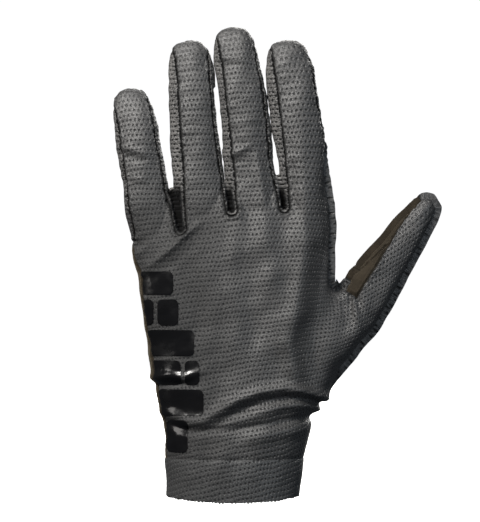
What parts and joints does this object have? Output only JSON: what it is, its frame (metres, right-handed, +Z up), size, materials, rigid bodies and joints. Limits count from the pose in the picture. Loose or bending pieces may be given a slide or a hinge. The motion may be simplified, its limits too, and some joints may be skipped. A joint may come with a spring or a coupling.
{
  "type": "cycling glove",
  "caption": "Full-finger cycling glove for the left hand, perforated mesh back, suede palm and thumb, fourchettes, glossy printed blocks and a folded mesh cuff.",
  "frame": {"origin": "middle of the wrist opening, level with the lowest point of the hem", "axes": "+Z up from the cuff to the fingertips, -Y out of the back of the hand, +Y out of the palm, +X towards the thumb"},
  "size_m": [0.1589, 0.0468, 0.2287],
  "materials": {
    "mesh": "charcoal perforated knitted mesh with a soft sheen",
    "fourchette_mesh": "darker charcoal perforated knitted mesh",
    "suede": "brown-grey brushed synthetic suede",
    "cuff_mesh": "charcoal perforated knitted mesh, doubled",
    "print": "thin glossy black printed film"
  },
  "bodies": {
    "root": {"back_panel": "mesh", "palm_panel": "suede", "little_outer_strip": "fourchette_mesh", "little_ring_fourchette": "fourchette_mesh", "ring_middle_fourchette": "fourchette_mesh", "middle_index_fourchette": "fourchette_mesh", "index_outer_strip": "fourchette_mesh", "thumb_front": "suede", "thumb_web_gusset": "suede", "cuff_band": "cuff_mesh", "print_block_1": "print", "print_block_2": "print", "print_block_3": "print", "print_block_4": "print", "print_block_5": "print", "print_block_6": "print", "print_block_7": "print", "print_block_8": "print"}
  },
  "joints": []
}
